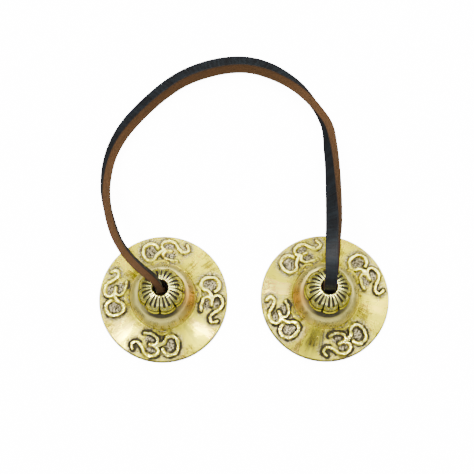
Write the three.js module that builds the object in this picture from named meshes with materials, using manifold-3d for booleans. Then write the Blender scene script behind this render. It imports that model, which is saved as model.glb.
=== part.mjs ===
// A pair of hand cymbals: two cast brass bells joined by one leather strap.
// Sizes are in millimetres and +Z is up. The bells stand on their rims at z = 0, side by side
// along X, and the strap's loop comes out of both lotus knobs and lies down behind them at +Y.

import * as THREE from 'three';
import { mergeVertices } from 'three/addons/utils/BufferGeometryUtils.js';
import Module from 'manifold-3d';

const wasm = await Module();
wasm.setup();

// Where the pair stands: the distance between the bells' axes, and how far each casting is turned.
const bellSpacing = 81.8;
const leftBellTurn = THREE.MathUtils.degToRad(-3);
const rightBellTurn = THREE.MathUtils.degToRad(27.3);

// The flared flange of a bell.
const bellDiameter = 65;
const rimThickness = 2.6;
const rimRounding = 0.5;
const seatWidth = 3;
const flangeRise = 3.6;
const flangeThickness = 2.5;

// The dome on the flange, with the groove round its foot and the hollow inside.
const domeDiameter = 32.4;
const domeHeight = 9.9;
const footGrooveDepth = 0.5;
const domeWall = 2.8;
const crownThickness = 2.5;

// How full these outlines are: shares of the radius or height beside which each curve turns.
const flangeSweep = 0.68;
const flangeSag = 0.15;
const underSweep = 0.4;
const domeSideHeight = 0.62;
const domeShoulder = 0.82;
const domeShoulderDrop = 1;
const domeCrown = 0.68;
const hollowRoof = 0.72;
const hollowCorner = 0.4;

// The lotus knob on the dome: a neck, a lower lip that stands out, and petals with two flutes each.
const neckDiameter = 18;
const neckHeight = 1.4;
const lipDiameter = 23.8;
const lipHeight = 1.5;
const lotusDiameter = 21.8;
const petalEdgeHeight = 3.7;
const lotusHeight = 10;
const petalCount = 8;
const flutesPerPetal = 2;
const petalTurn = THREE.MathUtils.degToRad(0.5);
const petalNotchDepth = 0.9;
const petalOverhang = 0.1;
const lipGrooveDepth = 0.4;
const coveSweep = 0.86;
const crownLand = 0.3;
const petalShoulder = 0.87;
const petalShoulderDrop = 1.2;

// The cuts in the petals. A floor is the height above the straight line from the hole's mouth to the
// petal's edge, at the inner and the outer end.
const petalGrooveStart = 0.4;
const petalGrooveInnerWidth = 0.36;
const petalGrooveOuterWidth = 0.9;
const petalGrooveInnerFloor = 0.25;
const petalGrooveOuterFloor = -0.7;
const fluteStart = 0.6;
const fluteLength = 7.2;
const fluteTipWidth = 0.5;
const fluteWidth = 1.35;
const fluteInnerFloor = 0.4;
const fluteOuterFloor = 0.3;

// The raised ornament on the flange: how far it stands up, how deep its strokes root in the flange,
// and where each of the four is round the bell, in degrees. Their maker set them a little unevenly.
const ornamentHeight = 0.95;
const ornamentRoot = 1.3;
const ornamentTurns = [-90, 6.5, 96.5, 182.5];

// The strokes of the ornament: two curls, a loop and a crescent. The first number of a point runs
// sideways and the second out from the bell's axis.
const ornamentStrokes = [
	{ width: 2, steps: 6, points: [
		[-8, 18.4], [-5, 18.7], [-2.1, 20.1], [-1.1, 22.2], [-2.6, 24.1], [-5.4, 24]] },
	{ width: 2, steps: 11, points: [
		[-2.9, 24.4], [-0.8, 26.2], [-1.2, 28.6], [-4.4, 29.8], [-7.4, 28.4], [-9.3, 24.9], [-11.8, 22.8],
		[-14.1, 23.9], [-13.7, 26.4]] },
	{ width: 2.2, steps: 11, points: [
		[-1.2, 24.6], [1.9, 22.6], [3.2, 20.3], [5.4, 19.4], [7.8, 20.5], [9, 23.6], [8.4, 27], [5.6, 28.8],
		[2.8, 28.1], [1.4, 26.2]] },
	{ width: 1.4, steps: 4, points: [
		[-3.5, 17.2], [-1.7, 18.3], [0.6, 18.7], [2.8, 18.1], [4.3, 17]] },
];

// The strap, cut from one strip of thick leather, and the room that it has in the knob's hole.
const strapWidth = 6.3;
const strapThickness = 4.4;
const strapCorner = 0.8;
const holeClearance = 0.34;
const holeMouthRounding = 0.35;
const pieceGap = 0.3;

// The knot in each end of the strap: two crossing wraps and a short cut tail.
const knotWrapRadius = 3.4;
const knotWrapDrop = 2.2;
const knotWrapTilt = THREE.MathUtils.degToRad(14);
const knotTailLength = 4.8;

// Fineness of the round forms, the size of a sliver between two of them that is left out, and how far
// a cutter runs past what it cuts.
const bellSides = 44;
const curveSteps = 3;
const cutterSteps = 2;
const strapStepsPerHalf = 30;
const wrapSides = 7;
const wrapSteps = 16;
const sliverSize = 0.02;
const overrun = 1;

// Heights and radii that follow from the sizes above.
const bellRadius = bellDiameter / 2;
const domeFootHeight = rimThickness + flangeRise;
const domeTop = domeFootHeight + domeHeight;
const lotusBase = domeTop + neckHeight;
const mouthHeight = lotusBase + lotusHeight;
const hollowTop = domeTop - crownThickness;
const domeRadius = domeDiameter / 2;
const flangeInner = domeRadius + 2 * footGrooveDepth;
const flangeOuter = bellRadius - rimRounding;
const neckRadius = neckDiameter / 2;
const lipRadius = lipDiameter / 2;
const lotusRadius = lotusDiameter / 2;
const strapReach = Math.hypot(strapWidth / 2, strapThickness / 2 - strapCorner);
const holeRadius = strapReach + holeClearance;
const crownRadius = holeRadius + holeMouthRounding + crownLand;
const lipLevel = lotusBase + lipHeight;
const petalEdge = lotusBase + petalEdgeHeight;
const lipGrooveLevel = (lipLevel + petalEdge) / 2;
const cutCount = petalCount * (flutesPerPetal + 1);

const brass = { color: 0xd3c07a, roughness: 0.3, metalness: 1 };
const leather = { color: 0x33261f, roughness: 0.75, metalness: 0 };

// Turns a closed geometry into a solid that can be joined or cut. Faces that collapse to a line on
// the axis of a turned form are left out.
function toSolid(geometry) {

	const plain = geometry.clone();
	plain.deleteAttribute('normal');
	plain.deleteAttribute('uv');
	const merged = mergeVertices(plain, 1e-4);
	const corners = merged.index.array;
	const kept = [];
	for (let i = 0; i < corners.length; i += 3) {

		const [a, b, c] = [corners[i], corners[i + 1], corners[i + 2]];
		if (a !== b && b !== c && c !== a) kept.push(a, b, c);

	}

	const mesh = new wasm.Mesh({
		numProp: 3,
		vertProperties: new Float32Array(merged.attributes.position.array),
		triVerts: new Uint32Array(kept),
	});
	return new wasm.Manifold(mesh);

}

function toGeometry(solid) {

	const mesh = solid.getMesh();
	const geometry = new THREE.BufferGeometry();
	geometry.setAttribute('position', new THREE.BufferAttribute(mesh.vertProperties, 3));
	geometry.setIndex(new THREE.BufferAttribute(mesh.triVerts, 1));
	geometry.computeVertexNormals();
	return geometry;

}

// Revolves an outline of radius and height about the vertical axis.
function turned(outline, sides = bellSides) {

	return new THREE.LatheGeometry(outline.getPoints(curveSteps), sides).rotateX(Math.PI / 2);

}

// Carries an outline along the flange's bowed top from the rim to the dome, or at a height above it.
function flangeTop(outline, lift) {

	outline.quadraticCurveTo(
		bellRadius * flangeSweep, rimThickness + flangeRise * flangeSag + lift,
		flangeInner, domeFootHeight + lift);

}

// The flange, the dome and the post under the lotus, in one turned outline. It runs from the axis
// down the outside, round the rim, and back up through the hollow to the axis.
function bellBody() {

	const postTop = lotusBase + lipHeight / 2;
	const sideHeight = domeFootHeight + domeHeight * domeSideHeight;
	const seatInner = flangeOuter - seatWidth;
	const hollowRadius = domeRadius - domeWall;
	const flangeUnder = domeFootHeight - flangeThickness;
	const hollowEdge = hollowTop - (hollowTop - flangeUnder) * hollowCorner;

	const outline = new THREE.Path();
	outline.moveTo(0, hollowTop);
	outline.lineTo(hollowRadius * hollowRoof, hollowTop);
	outline.quadraticCurveTo(hollowRadius, hollowTop, hollowRadius, hollowEdge);
	outline.lineTo(hollowRadius, flangeUnder);
	outline.quadraticCurveTo(hollowRadius + seatWidth, rimThickness * underSweep, seatInner, 0);
	outline.lineTo(flangeOuter, 0);
	outline.quadraticCurveTo(bellRadius, 0, bellRadius, rimRounding);
	outline.lineTo(bellRadius, rimThickness - rimRounding);
	outline.quadraticCurveTo(bellRadius, rimThickness, flangeOuter, rimThickness);
	flangeTop(outline, 0);
	outline.lineTo(domeRadius + footGrooveDepth, domeFootHeight - footGrooveDepth);
	outline.lineTo(domeRadius, domeFootHeight);
	outline.quadraticCurveTo(
		domeRadius + footGrooveDepth, sideHeight, domeRadius * domeShoulder, domeTop - domeShoulderDrop);
	outline.quadraticCurveTo(domeRadius * domeCrown, domeTop, neckRadius, domeTop);
	outline.lineTo(neckRadius, postTop);
	outline.lineTo(0, postTop);
	return toSolid(turned(outline));

}

// The plan of one stroke: a band of its width along a smooth line.
function strokePlan({ width, steps, points }) {

	const corners = points.map(([sideways, outward]) => new THREE.Vector2(outward, sideways));
	const line = new THREE.SplineCurve(corners);
	const left = [];
	const right = [];
	for (let i = 0; i <= steps; i += 1) {

		const point = line.getPointAt(i / steps);
		const heading = line.getTangentAt(i / steps);
		const side = new THREE.Vector2(-heading.y, heading.x).multiplyScalar(width / 2);
		left.push(point.clone().add(side).toArray());
		right.unshift(point.clone().sub(side).toArray());

	}

	return new wasm.CrossSection([[...left, ...right]], 'NonZero');

}

// The four ornaments. They rise to one height above the flange's bow and reach down into the flange.
function ornaments() {

	const outline = new THREE.Path();
	outline.moveTo(flangeInner, domeFootHeight - ornamentRoot);
	outline.lineTo(flangeOuter, rimThickness - ornamentRoot);
	outline.lineTo(flangeOuter, rimThickness + ornamentHeight);
	flangeTop(outline, ornamentHeight);
	outline.closePath();
	const layer = toSolid(turned(outline));
	const figure = wasm.CrossSection.union(ornamentStrokes.map(strokePlan)).extrude(domeTop);
	const turnedFigures = ornamentTurns.map((turn) => figure.rotate([0, 0, turn]));
	return layer.intersect(wasm.Manifold.union(turnedFigures));

}

// The lotus head before its petals are cut: a cove under a lower lip, a groove, and the domed top. It
// has one flat side for each ridge between two cuts.
function lotusHead() {

	const outline = new THREE.Path();
	outline.moveTo(0, lotusBase);
	outline.lineTo(neckRadius, lotusBase);
	outline.quadraticCurveTo(lipRadius * coveSweep, lotusBase, lipRadius, lipLevel);
	outline.lineTo(lotusRadius - lipGrooveDepth, lipGrooveLevel);
	outline.lineTo(lotusRadius, petalEdge);
	outline.quadraticCurveTo(
		lotusRadius * petalShoulder, mouthHeight - petalShoulderDrop, crownRadius, mouthHeight);
	outline.lineTo(0, mouthHeight);
	return toSolid(turned(outline, cutCount));

}

// A plan with one rounded lobe for each petal, drawn up between two levels.
function petalPrism(radius, bottom, top) {

	const notchRadius = radius - petalNotchDepth;
	const step = (2 * Math.PI) / petalCount;
	const plan = new THREE.Shape();
	plan.moveTo(notchRadius, 0);
	for (let i = 0; i < petalCount; i += 1) {

		const middle = (i + 0.5) * step;
		const end = (i + 1) * step;
		const chordMiddle = notchRadius * Math.cos(step / 2);
		const pull = 2 * (radius + petalOverhang) - chordMiddle;
		plan.quadraticCurveTo(
			pull * Math.cos(middle), pull * Math.sin(middle),
			notchRadius * Math.cos(end), notchRadius * Math.sin(end));

	}

	const prism = new THREE.ExtrudeGeometry(
		plan, { depth: top - bottom, bevelEnabled: false, curveSegments: curveSteps });
	return toSolid(prism.translate(0, 0, bottom));

}

// A cutter that lies along the slope of a petal. Its plan runs outward from the hole's mouth, and its
// floor goes from one height at the inner end to another at the petal's edge.
function petalCutter(plan, innerFloor, outerFloor, angle) {

	const inner = new THREE.Vector2(crownRadius, mouthHeight);
	const outer = new THREE.Vector2(lotusRadius, petalEdge);
	const normal = outer.clone().sub(inner).normalize().rotateAround(new THREE.Vector2(), Math.PI / 2);
	inner.addScaledVector(normal, innerFloor);
	outer.addScaledVector(normal, outerFloor);
	const slope = outer.clone().sub(inner).normalize();

	const along = new THREE.Vector3(slope.x, 0, slope.y);
	const across = new THREE.Vector3(0, 1, 0);
	const out = new THREE.Vector3().crossVectors(along, across);
	const place = new THREE.Matrix4().makeBasis(along, across, out).setPosition(inner.x, 0, inner.y);
	const cutter = new THREE.ExtrudeGeometry(
		plan, { depth: lotusHeight / 2, bevelEnabled: false, curveSegments: cutterSteps });
	return toSolid(cutter.applyMatrix4(place).rotateZ(angle));

}

// A flute is a drop: a point near the hole and a round outer end.
function flutePlan() {

	const half = fluteWidth / 2;
	const arcCentre = fluteStart + fluteLength - half;
	const plan = new THREE.Shape();
	plan.moveTo(fluteStart, -fluteTipWidth / 2);
	plan.lineTo(arcCentre, -half);
	plan.absarc(arcCentre, 0, half, -Math.PI / 2, Math.PI / 2);
	plan.lineTo(fluteStart, fluteTipWidth / 2);
	plan.closePath();
	return plan;

}

// The groove between two petals widens outward and runs off the petals' edge.
function petalGroovePlan() {

	const end = lotusRadius + overrun;
	const plan = new THREE.Shape();
	plan.moveTo(petalGrooveStart, -petalGrooveInnerWidth / 2);
	plan.lineTo(end, -petalGrooveOuterWidth / 2);
	plan.lineTo(end, petalGrooveOuterWidth / 2);
	plan.lineTo(petalGrooveStart, petalGrooveInnerWidth / 2);
	plan.closePath();
	return plan;

}

// The hole for the strap, with a rounded mouth.
function holeCutter() {

	const outline = new THREE.Path();
	outline.moveTo(0, hollowTop - overrun);
	outline.lineTo(holeRadius, hollowTop - overrun);
	outline.lineTo(holeRadius, mouthHeight - holeMouthRounding);
	outline.quadraticCurveTo(holeRadius, mouthHeight, holeRadius + holeMouthRounding, mouthHeight);
	outline.lineTo(holeRadius + holeMouthRounding, mouthHeight + overrun);
	outline.lineTo(0, mouthHeight + overrun);
	return toSolid(turned(outline));

}

// One bell is one casting: the body, the ornaments, the lotus's lip and its petals are joined, then the
// petals' grooves, the flutes and the hole are cut. The petals reach a little below the lip's top. The
// ornaments are placed from the bell's own turn, and the petals from theirs.
function bellGeometry() {

	const head = lotusHead();
	const petalFoot = lipGrooveLevel - lipGrooveDepth / 2;
	const lip = head.intersect(petalPrism(lipRadius, lotusBase - overrun, lipGrooveLevel));
	const petals = head.intersect(petalPrism(lotusRadius, petalFoot, mouthHeight + overrun));
	let knob = lip.add(petals);
	for (let i = 0; i < cutCount; i += 1) {

		const angle = (2 * Math.PI * i) / cutCount;
		const isBoundary = i % (flutesPerPetal + 1) === 0;
		const cutter = isBoundary
			? petalCutter(petalGroovePlan(), petalGrooveInnerFloor, petalGrooveOuterFloor, angle)
			: petalCutter(flutePlan(), fluteInnerFloor, fluteOuterFloor, angle);
		knob = knob.subtract(cutter);

	}

	knob = knob.rotate([0, 0, THREE.MathUtils.radToDeg(petalTurn)]);
	const bell = bellBody().add(ornaments()).add(knob).subtract(holeCutter());
	return toGeometry(bell.simplify(sliverSize));

}

// The strap's centreline: up out of the left knob and over, down to the table, round the loop, and
// back up and over into the right knob. The arches are offsets from the middle of each knob's mouth,
// and the loop's points are where it comes down and lies on the table.
const leftArch = [
	[0, 0, 0], [0, 0, 2.8], [-0.45, 0.35, 6.5], [-1.95, 1.4, 10.5], [-4.75, 3.15, 13.7],
	[-8.4, 5.8, 15.5], [-12.2, 9.4, 15.6], [-15.85, 14.05, 14],
];
const loop = [
	[-62.8, 25.5, 34.6], [-70.7, 58, 10.9], [-68.1, 79.1, 5], [-57.9, 96.5, 4.7],
	[-29.7, 120.9, 4.7], [2.5, 127.7, 4.7], [27.5, 116.5, 4.5], [43.6, 95.2, 4.3], [45.8, 77.7, 8.4],
];
const rightArch = [
	[2.4, 31.5, 8], [1.05, 20.6, 13.9], [0.6, 15.9, 15.5], [0.3, 11.15, 15.5], [0.2, 6.8, 13.8],
	[0.1, 3.15, 10.5], [0, 0.85, 6.4], [0, 0, 2.8], [0, 0, 0],
];

function offsetFrom(points, x, z) {

	return points.map((point) => new THREE.Vector3(point[0] + x, point[1], point[2] + z));

}

const strapStart = mouthHeight + pieceGap;
const strapRoute = new THREE.CatmullRomCurve3([
	...offsetFrom(leftArch, -bellSpacing / 2, strapStart),
	...offsetFrom(loop, 0, 0),
	...offsetFrom(rightArch, bellSpacing / 2, strapStart),
]);

// The share of the strap's length at which it crosses the middle of the loop, where its halves meet.
const crownShare = 0.5354;

// How far the strap's wide faces turn round the centreline, in degrees, at shares of its length. At 0
// the strap lies flat with a wide face up, and at 90 it stands on its edge.
const strapTwist = [
	[0, 60], [0.03, 61], [0.1, 77], [0.475, 145], [0.61, 132], [0.715, 77], [0.84, 51], [0.94, 13],
	[1, 0],
];

// The strip was cut by hand and is broadest round the loop: how many times its size in the holes it has
// at shares of its length.
const strapSwell = [
	[0, 1], [0.2, 1], [0.28, 1.18], [0.36, 1.27], [0.56, 1.31], [0.645, 0.98], [0.73, 1.12], [0.82, 1.08],
	[1, 1],
];

function valueAt(list, share) {

	let next = 1;
	while (next < list.length - 1 && list[next][0] < share) next += 1;
	const [fromShare, fromValue] = list[next - 1];
	const [toShare, toValue] = list[next];
	return fromValue + (toValue - fromValue) * THREE.MathUtils.smoothstep(share, fromShare, toShare);

}

// The strap's heading at a point is taken over this share of its length on both sides.
const headingSpan = 0.03;

// The direction of the strap's width at a share of its length. It is turned from the level direction
// that points out of the loop.
function widthDirection(share, tangent) {

	const ahead = strapRoute.getPointAt(Math.min(share + headingSpan, 1));
	const behind = strapRoute.getPointAt(Math.max(share - headingSpan, 0));
	const heading = ahead.sub(behind).setZ(0);
	const outward = new THREE.Vector3(0, 0, 1).cross(heading);
	outward.addScaledVector(tangent, -outward.dot(tangent)).normalize();
	const upward = new THREE.Vector3().crossVectors(tangent, outward);
	const turn = THREE.MathUtils.degToRad(valueAt(strapTwist, share));
	return outward.multiplyScalar(Math.cos(turn)).addScaledVector(upward, Math.sin(turn));

}

// A stretch of the strap between two shares of its length, which carries the strap's own twist and swell.
class StrapStretch extends THREE.Curve {

	constructor(from, to) {

		super();
		this.from = from;
		this.to = to;

	}

	getPoint(t, target = new THREE.Vector3()) {

		return strapRoute.getPointAt(this.from + (this.to - this.from) * t, target);

	}

	computeFrenetFrames(segments) {

		const frames = { tangents: [], normals: [], binormals: [] };
		for (let i = 0; i <= segments; i += 1) {

			const share = this.from + ((this.to - this.from) * i) / segments;
			const tangent = strapRoute.getTangentAt(share);
			const width = widthDirection(share, tangent).multiplyScalar(valueAt(strapSwell, share));
			frames.tangents.push(tangent);
			frames.normals.push(width);
			frames.binormals.push(new THREE.Vector3().crossVectors(tangent, width));

		}

		return frames;

	}

}

// The strap's section: a rectangle whose corners are bevelled off.
function strapSection() {

	const x = strapWidth / 2;
	const y = strapThickness / 2;
	const section = new THREE.Shape();
	section.moveTo(x, y - strapCorner);
	section.lineTo(x - strapCorner, y);
	section.lineTo(strapCorner - x, y);
	section.lineTo(-x, y - strapCorner);
	section.lineTo(-x, strapCorner - y);
	section.lineTo(strapCorner - x, -y);
	section.lineTo(x - strapCorner, -y);
	section.lineTo(x, strapCorner - y);
	section.closePath();
	return section;

}

// A straight stretch of the strap with its width in one given direction.
class StraightStretch extends THREE.LineCurve3 {

	constructor(from, to, width) {

		super(from, to);
		this.width = width;

	}

	computeFrenetFrames(segments) {

		const tangent = this.getTangent(0);
		const across = new THREE.Vector3().crossVectors(tangent, this.width);
		const repeat = (vector) => new Array(segments + 1).fill(vector);
		return { tangents: repeat(tangent), normals: repeat(this.width), binormals: repeat(across) };

	}

}

function strapAlong(path, steps) {

	return new THREE.ExtrudeGeometry(
		strapSection(), { steps, extrudePath: path, bevelEnabled: false });

}

// A ring of round section round the strap's end, which stands for one tight wrap of leather.
function knotWrap(height, tilt, axis) {

	const ring = new THREE.TorusGeometry(knotWrapRadius, strapThickness / 2, wrapSides, wrapSteps);
	ring.applyMatrix4(new THREE.Matrix4().makeRotationAxis(axis, tilt));
	return toSolid(ring.translate(0, 0, height));

}

// The end of the strap: a straight stem in the hole, two crossing wraps that bear on the roof of the
// hollow, and the cut tail. The stem's width lies as it does where the strap leaves the knob.
function knotGeometry(stemWidth) {

	const wrapReach = strapThickness / 2 + Math.sin(knotWrapTilt) * knotWrapRadius;
	const upperWrap = hollowTop - pieceGap - wrapReach;
	const lowerWrap = upperWrap - knotWrapDrop;
	const stemEnd = lowerWrap - strapThickness / 4;
	const stemPath = new StraightStretch(
		new THREE.Vector3(0, 0, mouthHeight), new THREE.Vector3(0, 0, stemEnd), stemWidth);
	const tailPath = new StraightStretch(
		new THREE.Vector3(0, 0, lowerWrap),
		new THREE.Vector3(knotWrapRadius + knotTailLength, 0, lowerWrap),
		new THREE.Vector3(0, 1, 0));
	const stem = toSolid(strapAlong(stemPath, 1));
	const tail = toSolid(strapAlong(tailPath, 1));
	const upper = knotWrap(upperWrap, knotWrapTilt, new THREE.Vector3(1, 0, 0));
	const lower = knotWrap(lowerWrap, knotWrapTilt, new THREE.Vector3(0, -1, 0));
	return toGeometry(stem.add(upper).add(lower).add(tail));

}

function namedMesh(name, geometry, finish) {

	const mesh = new THREE.Mesh(geometry, new THREE.MeshStandardMaterial(finish));
	mesh.name = name;
	return mesh;

}

const pair = new THREE.Group();

const bell = bellGeometry();
const sides = [
	{ name: 'left', x: -bellSpacing / 2, bellTurn: leftBellTurn, strapShare: 0 },
	{ name: 'right', x: bellSpacing / 2, bellTurn: rightBellTurn, strapShare: 1 },
];
for (const side of sides) {

	const place = new THREE.Group();
	place.position.set(side.x, 0, 0);
	const bellMesh = namedMesh(`${side.name}_bell`, bell, brass);
	bellMesh.rotation.z = side.bellTurn;
	place.add(bellMesh);
	const stemWidth = widthDirection(side.strapShare, new THREE.Vector3(0, 0, 1));
	place.add(namedMesh(`${side.name}_knot`, knotGeometry(stemWidth), leather));
	pair.add(place);

}

const strapLength = strapRoute.getLength();
const halfGap = pieceGap / 2 / strapLength;
pair.add(namedMesh(
	'strap_left_half', strapAlong(new StrapStretch(0, crownShare - halfGap), strapStepsPerHalf), leather));
pair.add(namedMesh(
	'strap_right_half', strapAlong(new StrapStretch(crownShare + halfGap, 1), strapStepsPerHalf), leather));

export default pair;
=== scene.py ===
# A pair of hand cymbals on a leather strap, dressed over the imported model.
# Lengths in the model's own frame are in metres. Sizes here are written in millimetres and multiplied by mm.
from math import cos, pi, radians, sin

import bpy
import numpy as np
from mathutils import Matrix, Vector


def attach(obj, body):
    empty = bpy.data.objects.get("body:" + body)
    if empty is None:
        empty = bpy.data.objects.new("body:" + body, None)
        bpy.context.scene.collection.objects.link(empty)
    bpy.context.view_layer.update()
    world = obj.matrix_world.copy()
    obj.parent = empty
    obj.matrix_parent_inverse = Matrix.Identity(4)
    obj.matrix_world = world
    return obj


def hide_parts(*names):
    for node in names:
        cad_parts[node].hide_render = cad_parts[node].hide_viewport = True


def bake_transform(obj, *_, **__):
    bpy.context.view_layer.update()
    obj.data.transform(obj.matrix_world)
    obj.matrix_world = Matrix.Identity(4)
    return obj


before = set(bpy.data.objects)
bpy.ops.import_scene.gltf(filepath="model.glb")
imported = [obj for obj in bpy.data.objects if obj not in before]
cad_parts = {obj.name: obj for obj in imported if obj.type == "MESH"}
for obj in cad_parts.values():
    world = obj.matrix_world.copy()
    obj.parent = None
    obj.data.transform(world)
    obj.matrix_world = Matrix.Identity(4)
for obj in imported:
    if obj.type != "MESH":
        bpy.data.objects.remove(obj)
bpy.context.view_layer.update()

mm = 0.001

# The camera
# The pair was photographed from above and a little in front, from half a metre away. These angles and
# this distance put both rims, both knobs and both holes where the photograph has them.
looked_at = Vector((-3.38, 32.8, 0)) * mm
camera_turn = radians(-2.05)
camera_height = radians(74.24)
camera_roll = radians(1.71)
camera_distance = 528 * mm
focal_length = 77.5
sensor_width = 36

facing = Matrix.Rotation(camera_turn, 3, "Z") @ Matrix.Rotation(pi / 2 - camera_height, 3, "X")
facing = facing @ Matrix.Rotation(camera_roll, 3, "Z")
camera_lens = bpy.data.cameras.new("camera")
camera_lens.lens = focal_length
camera_lens.sensor_width = sensor_width
camera = bpy.data.objects.new("camera", camera_lens)
camera.matrix_world = Matrix.Translation(looked_at + facing.col[2] * camera_distance) @ facing.to_4x4()
bpy.context.scene.collection.objects.link(camera)
bpy.context.scene.camera = camera

# The strap
# One strip of thick leather, cut by hand with its wide faces dyed black and its cut edges left raw. It
# comes up out of both knobs, bends over, and lies in a loop on the table behind the bells.
knob_spacing = 81.8
strap_start = 27.8

# Where the strap's middle runs. Each arch is measured from the mouth of its own knob, and the loop from
# the point midway between the bells.
left_arch = [
    (0, 0, 0), (0, 0, 2.8), (-0.45, 0.35, 6.5), (-1.95, 1.4, 10.5), (-4.75, 3.15, 13.7),
    (-8.4, 5.8, 15.5), (-12.2, 9.4, 15.6), (-15.85, 14.05, 14),
]
loop = [
    (-62.8, 25.5, 34.6), (-70.7, 58, 10.9), (-68.1, 79.1, 5), (-57.9, 96.5, 4.7),
    (-29.7, 120.9, 4.7), (2.5, 127.7, 4.7), (27.5, 116.5, 4.5), (43.6, 95.2, 4.3), (45.8, 77.7, 8.4),
]
right_arch = [
    (2.4, 31.5, 8), (1.05, 20.6, 13.9), (0.6, 15.9, 15.5), (0.3, 11.15, 15.5), (0.2, 6.8, 13.8),
    (0.1, 3.15, 10.5), (0, 0.85, 6.4), (0, 0, 2.8), (0, 0, 0),
]
route = [(x - knob_spacing / 2, y, z + strap_start) for x, y, z in left_arch]
route += loop
route += [(x + knob_spacing / 2, y, z + strap_start) for x, y, z in right_arch]


def through(points, steps):
    """A smooth curve through points, spaced by the square root of their distance."""
    points = np.array(points, float)
    points = np.vstack([2 * points[0] - points[1], points, 2 * points[-1] - points[-2]])
    t = np.linspace(0, 1, steps, endpoint=False)[:, None]
    spans = []
    for p0, p1, p2, p3 in zip(points, points[1:], points[2:], points[3:]):
        a, b, c = (np.sqrt(np.linalg.norm(q - p)) for p, q in ((p0, p1), (p1, p2), (p2, p3)))
        leave = ((p1 - p0) / a - (p2 - p0) / (a + b) + (p2 - p1) / b) * b
        arrive = ((p2 - p1) / b - (p3 - p1) / (b + c) + (p3 - p2) / c) * b
        bend = -3 * p1 + 3 * p2 - 2 * leave - arrive
        spans.append(p1 + leave * t + bend * t**2 + (2 * p1 - 2 * p2 + leave + arrive) * t**3)
    return np.vstack([*spans, points[-2]])


def distances(line):
    """How far along the line each of its points lies."""
    return np.concatenate([[0], np.cumsum(np.linalg.norm(np.diff(line, axis=0), axis=1))])


strap_line = through(route, 60)
strap_along = distances(strap_line)
strap_length = strap_along[-1]
# In the left knob the strap leans against the side of the hole, and it straightens again within this share
# of its length.
strap_lean = np.array((-0.7, -0.45, 0))
leaning_share = 0.06


def strap_point(share):
    """The middle of the strap at shares of its length. Past its ends it goes on straight down."""
    inside = np.clip(share, 0, 1)
    along = inside * strap_length
    point = np.stack([np.interp(along, strap_along, strap_line[:, k]) for k in range(3)], -1)
    point[..., 2] -= np.abs(share - inside) * strap_length
    leaning = np.clip(1 - share / leaning_share, 0, 1) ** 2
    return point + strap_lean * leaning[..., None]


# How far the strap's wide faces turn round its middle, in degrees, at shares of its length. At 0 it
# lies flat, and at 90 it stands on its edge.
strap_twist = [
    (0, 60), (0.03, 62), (0.1, 80), (0.16, 87), (0.22, 105), (0.28, 124), (0.34, 139), (0.4, 146),
    (0.5, 150), (0.56, 147), (0.61, 136), (0.64, 118), (0.7, 80), (0.74, 60), (0.79, 54), (0.85, 41),
    (0.94, 15), (1, 0),
]


def unit(vectors):
    """The same directions with length 1."""
    return vectors / np.linalg.norm(vectors, axis=-1, keepdims=True)


def strap_frames(share):
    """The strap's middle, its width direction and its face direction at shares of its length."""
    step = 0.0005
    reach = 0.03
    blur = 0.012
    middle = strap_point(share)
    tangent = unit(strap_point(share + step) - strap_point(share - step))
    inside = np.clip(share, 0, 1)
    heading = strap_point(np.minimum(inside + reach, 1)) - strap_point(np.maximum(inside - reach, 0))
    outward = np.stack([-heading[:, 1], heading[:, 0], 0 * heading[:, 0]], -1)
    outward = unit(outward - (outward * tangent).sum(-1, keepdims=True) * tangent)
    upward = np.cross(tangent, outward)
    shares, turns = np.array(strap_twist, float).T
    turns_near = [np.interp(share + shift, shares, turns) for shift in (-blur, 0, blur)]
    turn = np.radians(np.mean(turns_near, 0))[:, None]
    width = outward * np.cos(turn) + upward * np.sin(turn)
    return middle, width, np.cross(tangent, width)


def grid_mesh(name, rows, closed_across=True, closed_along=False, capped=False):
    """A mesh of quads from rows of points. Each row is one ring or strip of it."""
    count, across = rows.shape[:2]
    number = np.arange(count * across).reshape(count, across)
    if closed_across:
        number = np.hstack([number, number[:, :1]])
    if closed_along:
        number = np.vstack([number, number[:1]])
    quads = np.stack([number[:-1, :-1], number[:-1, 1:], number[1:, 1:], number[1:, :-1]], -1)
    faces = quads.reshape(-1, 4).tolist()
    if capped:
        faces.append(number[0, :across][::-1].tolist())
        faces.append(number[-1, :across].tolist())
    mesh = bpy.data.meshes.new(name)
    mesh.from_pydata((rows.reshape(-1, 3) * mm).tolist(), [], faces)
    mesh.polygons.foreach_set("use_smooth", [True] * len(faces))
    piece = bpy.data.objects.new(name, mesh)
    bpy.context.scene.collection.objects.link(piece)
    return piece


def note(piece, name, values):
    """Keeps three numbers for each point of a mesh, for its material to read."""
    attribute = piece.data.attributes.new(name, "FLOAT_VECTOR", "POINT")
    attribute.data.foreach_set("vector", np.asarray(values, np.float32).ravel())


def ripple(x, y, z, seed):
    """Smooth irregular waves from about -1 to 1, for the small unevenness of handwork."""
    waves = 9
    rng = np.random.default_rng(seed)
    directions = rng.normal(size=(waves, 3))
    phases = rng.uniform(0, 2 * pi, waves)
    total = 0
    for direction, phase in zip(directions, phases):
        total = total + np.sin(x * direction[0] + y * direction[1] + z * direction[2] + phase)
    return total * 2 / waves


strap_width = 6.3
strap_thickness = 4.4
strap_corner = 0.3
flat_half = strap_width / 2 - strap_corner
edge_half = strap_thickness / 2 - strap_corner


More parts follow.
